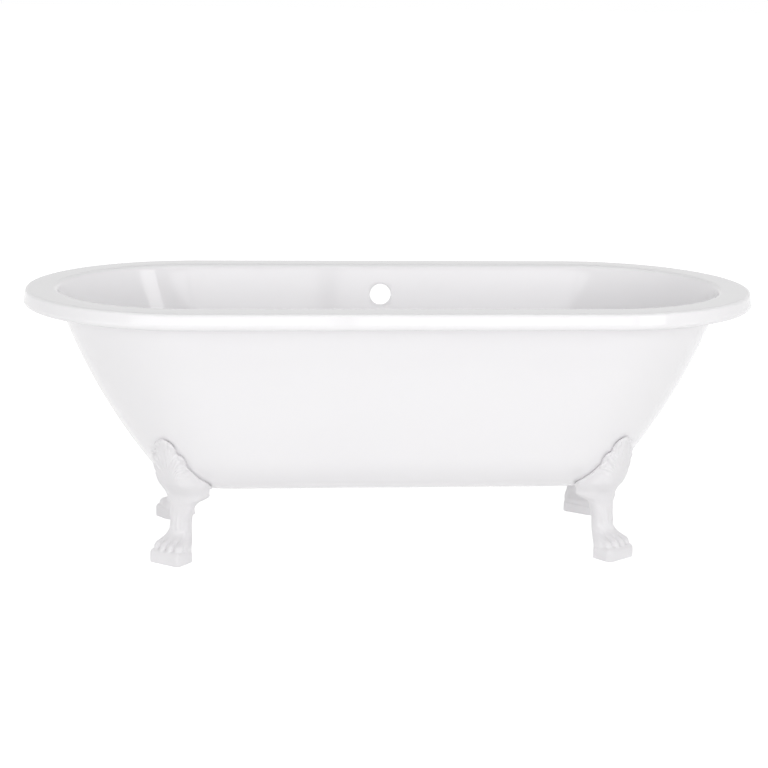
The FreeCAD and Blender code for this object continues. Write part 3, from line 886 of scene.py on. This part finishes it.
def bump(nodes, links, height, distance, normal=None):
    node = nodes.new("ShaderNodeBump")
    node.inputs["Distance"].default_value = distance
    node.inputs["Strength"].default_value = 1.0
    links.new(height, node.inputs["Height"])
    if normal is not None:
        links.new(normal, node.inputs["Normal"])
    return node.outputs["Normal"]


def enamel_material():
    """White vitreous enamel: glossy, a little wavy, with a fine orange peel."""
    material, nodes, links, shader = make_material("white_enamel")
    shader.inputs["IOR"].default_value = 1.5
    factor = between(nodes, links, noise(nodes, links, 3.0, 3.0), 0, 1)
    colour = mix_colours(nodes, links, factor, (0.935, 0.925, 0.939), (0.948, 0.939, 0.951))
    links.new(colour, shader.inputs["Base Color"])
    rough = between(nodes, links, noise(nodes, links, 14.0, 4.0), 0.045, 0.075)
    links.new(rough, shader.inputs["Roughness"])
    wavy = bump(nodes, links, noise(nodes, links, 5.0, 1.0), 0.0003)
    peel = bump(nodes, links, noise(nodes, links, 260.0, 2.0), 0.00002, wavy)
    links.new(peel, shader.inputs["Normal"])
    return material


def foot_material():
    """White satin paint over cast iron."""
    material, nodes, links, shader = make_material("white_foot_paint")
    factor = between(nodes, links, noise(nodes, links, 30.0, 3.0), 0, 1)
    colour = mix_colours(nodes, links, factor, (0.845, 0.833, 0.848), (0.875, 0.864, 0.878))
    links.new(colour, shader.inputs["Base Color"])
    rough = between(nodes, links, noise(nodes, links, 120.0, 3.0), 0.3, 0.42)
    links.new(rough, shader.inputs["Roughness"])
    coarse = bump(nodes, links, noise(nodes, links, 160.0, 3.0), 0.0005)
    fine = bump(nodes, links, noise(nodes, links, 700.0, 2.0), 0.00006, coarse)
    links.new(fine, shader.inputs["Normal"])
    return material


def zinc_material():
    """Zinc-plated steel with a mottled surface."""
    material, nodes, links, shader = make_material("zinc_steel")
    shader.inputs["Metallic"].default_value = 1.0
    factor = between(nodes, links, noise(nodes, links, 180.0, 3.0), 0, 1)
    colour = mix_colours(nodes, links, factor, (0.58, 0.59, 0.61), (0.72, 0.73, 0.74))
    links.new(colour, shader.inputs["Base Color"])
    rough = between(nodes, links, noise(nodes, links, 420.0, 3.0), 0.25, 0.42)
    links.new(rough, shader.inputs["Roughness"])
    return material


CAMERA_TARGET = Vector((-0.0129, 0, 0.3726))
CAMERA_DISTANCE = 4.5
CAMERA_AZIMUTH = math.radians(-4.831)
CAMERA_ELEVATION = math.radians(12.332)
CAMERA_ROLL = math.radians(0.835)
FOCAL_PIXELS = 1899.3
IMAGE_PIXELS = 768
SENSOR_MM = 36.0

# Light: radiance of the room at the horizon and overhead, the floor's colour and what the picture
# adds to it, and the soft boxes as centre, turn about the upright and dip in degrees, width, height
# and radiance
ROOM_SIDES = 1.9
ROOM_TOP = 0.54
FLOOR_COLOUR = (0.93, 0.93, 0.93)
FLOOR_GLOW = (0.64, 0.64, 0.64)
SOFT_BOXES = (
    ("box_left", (-1.85, -4.0, 1.22), 0, 0, 3.82, 0.88, 1.8),
    ("box_right", (1.13, -4.0, 1.22), 0, 0, 1.98, 0.88, 1.8),
    ("box_low", (-2.9, -2.0, 0.42), -55, 0, 2.2, 0.6, 1.15),
    ("box_side", (2.32, -2.77, 1.5), 40, 0, 1.0, 1.4, 2.7),
    ("box_high", (0.0, -2.6, 3.4), 0, 48, 2.4, 1.0, 1.5),
)


def make_camera():
    """The photograph's view: nearly from the front, looking a little down, rolled slightly."""
    sin_az, cos_az = math.sin(CAMERA_AZIMUTH), math.cos(CAMERA_AZIMUTH)
    sin_el, cos_el = math.sin(CAMERA_ELEVATION), math.cos(CAMERA_ELEVATION)
    back = Vector((sin_az * cos_el, -cos_az * cos_el, sin_el))
    right = Vector((cos_az, sin_az, 0))
    up = back.cross(right)
    side = right * math.cos(CAMERA_ROLL) + up * math.sin(CAMERA_ROLL)
    top = up * math.cos(CAMERA_ROLL) - right * math.sin(CAMERA_ROLL)
    data = bpy.data.cameras.new("camera")
    data.sensor_width = SENSOR_MM
    data.lens = FOCAL_PIXELS / IMAGE_PIXELS * SENSOR_MM
    data.clip_end = 100
    camera = bpy.data.objects.new("camera", data)
    bpy.context.scene.collection.objects.link(camera)
    matrix = Matrix((side, top, back)).transposed().to_4x4()
    matrix.translation = CAMERA_TARGET + back * CAMERA_DISTANCE
    camera.matrix_world = matrix
    bpy.context.scene.camera = camera


def add_area(name, place, facing, width, height, strength):
    """Soft rectangular lamp; strength is the radiance of its face."""
    data = bpy.data.lights.new(name, "AREA")
    data.shape = "RECTANGLE"
    data.size = width
    data.size_y = height
    data.energy = strength * math.pi * width * height
    lamp = bpy.data.objects.new(name, data)
    lamp.location = place
    lamp.rotation_euler = facing.to_track_quat("-Z", "Y").to_euler()
    bpy.context.scene.collection.objects.link(lamp)


def background_rays(nodes, links):
    """1 for the rays that show the white background: the camera's, and those in metal and glass."""
    path = nodes.new("ShaderNodeLightPath")
    value = path.outputs["Is Camera Ray"]
    for ray in ("Is Glossy Ray", "Is Transmission Ray"):
        either = nodes.new("ShaderNodeMath")
        either.operation = "MAXIMUM"
        links.new(value, either.inputs[0])
        links.new(path.outputs[ray], either.inputs[1])
        value = either.outputs["Value"]
    return value


def make_world():
    """White background; as a light it is a pale room that is a little darker overhead."""
    world = bpy.data.worlds.new("studio")
    bpy.context.scene.world = world
    world.use_nodes = True
    nodes, links = world.node_tree.nodes, world.node_tree.links
    nodes.clear()
    output = nodes.new("ShaderNodeOutputWorld")
    place = nodes.new("ShaderNodeTexCoord")
    axes = nodes.new("ShaderNodeSeparateXYZ")
    fall = nodes.new("ShaderNodeMapRange")
    fall.inputs["From Min"].default_value = 0.0
    fall.inputs["From Max"].default_value = 0.5
    fall.inputs["To Min"].default_value = ROOM_SIDES
    fall.inputs["To Max"].default_value = ROOM_TOP
    studio = nodes.new("ShaderNodeBackground")
    white = nodes.new("ShaderNodeBackground")
    white.inputs["Color"].default_value = (1, 1, 1, 1)
    white.inputs["Strength"].default_value = 1.0
    mixer = nodes.new("ShaderNodeMixShader")
    links.new(place.outputs["Generated"], axes.inputs["Vector"])
    links.new(axes.outputs["Z"], fall.inputs["Value"])
    links.new(fall.outputs["Result"], studio.inputs["Strength"])
    links.new(background_rays(nodes, links), mixer.inputs["Fac"])
    links.new(studio.outputs["Background"], mixer.inputs[1])
    links.new(white.outputs["Background"], mixer.inputs[2])
    links.new(mixer.outputs["Shader"], output.inputs["Surface"])


def make_floor():
    """Pale floor: white in the picture, apart from the object's soft shadow."""
    reach = 60.0
    build = MeshBuilder()
    corners = ((-1, -1), (1, -1), (1, 1), (-1, 1))
    build.cap(build.loop([(reach * x, reach * y, 0) for x, y in corners]))
    floor = bpy.data.objects.new("floor", build.mesh("floor"))
    bpy.context.scene.collection.objects.link(floor)
    material, nodes, links, shader = make_material("floor")
    shader.inputs["Base Color"].default_value = (*FLOOR_COLOUR, 1)
    shader.inputs["Roughness"].default_value = 0.9
    shader.inputs["Specular IOR Level"].default_value = 0.0
    glow = nodes.new("ShaderNodeEmission")
    glow.inputs["Color"].default_value = (*FLOOR_GLOW, 1)
    add = nodes.new("ShaderNodeAddShader")
    links.new(background_rays(nodes, links), glow.inputs["Strength"])
    links.new(shader.outputs["BSDF"], add.inputs[0])
    links.new(glow.outputs["Emission"], add.inputs[1])
    output = next(node for node in nodes if node.type == "OUTPUT_MATERIAL")
    links.new(add.outputs["Shader"], output.inputs["Surface"])
    floor.data.materials.append(material)


def make_lights():
    """Two soft boxes in front with a narrow gap between them, a low one on the left, one on the right
    and one high up."""
    for name, place, turn, dip, width, height, strength in SOFT_BOXES:
        turn, dip = math.radians(turn), math.radians(dip)
        level = math.cos(dip)
        facing = Vector((-math.sin(turn) * level, math.cos(turn) * level, -math.sin(dip)))
        add_area(name, place, facing, width, height, strength)


# ---------------------------------------------------------------- assembly

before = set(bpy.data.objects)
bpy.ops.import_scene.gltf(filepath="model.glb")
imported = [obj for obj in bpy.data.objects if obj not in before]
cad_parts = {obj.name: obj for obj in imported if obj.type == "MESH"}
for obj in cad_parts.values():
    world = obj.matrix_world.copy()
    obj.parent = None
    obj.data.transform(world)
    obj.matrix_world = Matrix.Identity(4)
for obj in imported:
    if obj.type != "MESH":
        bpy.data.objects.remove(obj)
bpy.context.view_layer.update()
tub_low, tub_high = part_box("tub_shell")
HEIGHT = tub_high.z
RIM_RADIUS = tub_high.y
RIM_STRAIGHT = tub_high.x - RIM_RADIUS
END = WallProfile(flat=0.484, power=2, corner=0.104, lean_low=38, lean_top=19, rim_extra=RIM_STRAIGHT)
SIDE = WallProfile(flat=0.125, power=3, corner=0.150, lean_low=19, lean_top=9, rim_extra=0.0)
OVERFLOW_LEAN = SIDE.lean(OVERFLOW_HEIGHT)
OVERFLOW_OUTWARD = (0, math.cos(OVERFLOW_LEAN), -math.sin(OVERFLOW_LEAN))

bpy.context.scene.view_settings.view_transform = "Standard"
make_camera()
make_world()
make_lights()
make_floor()

enamel = enamel_material()
paint = foot_material()
zinc = zinc_material()
shell_build = build_shell()
add_lugs(shell_build)
add_object("tub", shell_build.mesh("tub"), enamel, "tub_shell")
foot_mesh = sculpt_foot()
for corner, end, side in CORNERS:
    add_foot(foot_mesh, corner, end, side, paint)
for name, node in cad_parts.items():
    if name != "tub_shell":
        node.data.materials.clear()
        node.data.materials.append(paint if name.startswith("foot") else zinc)
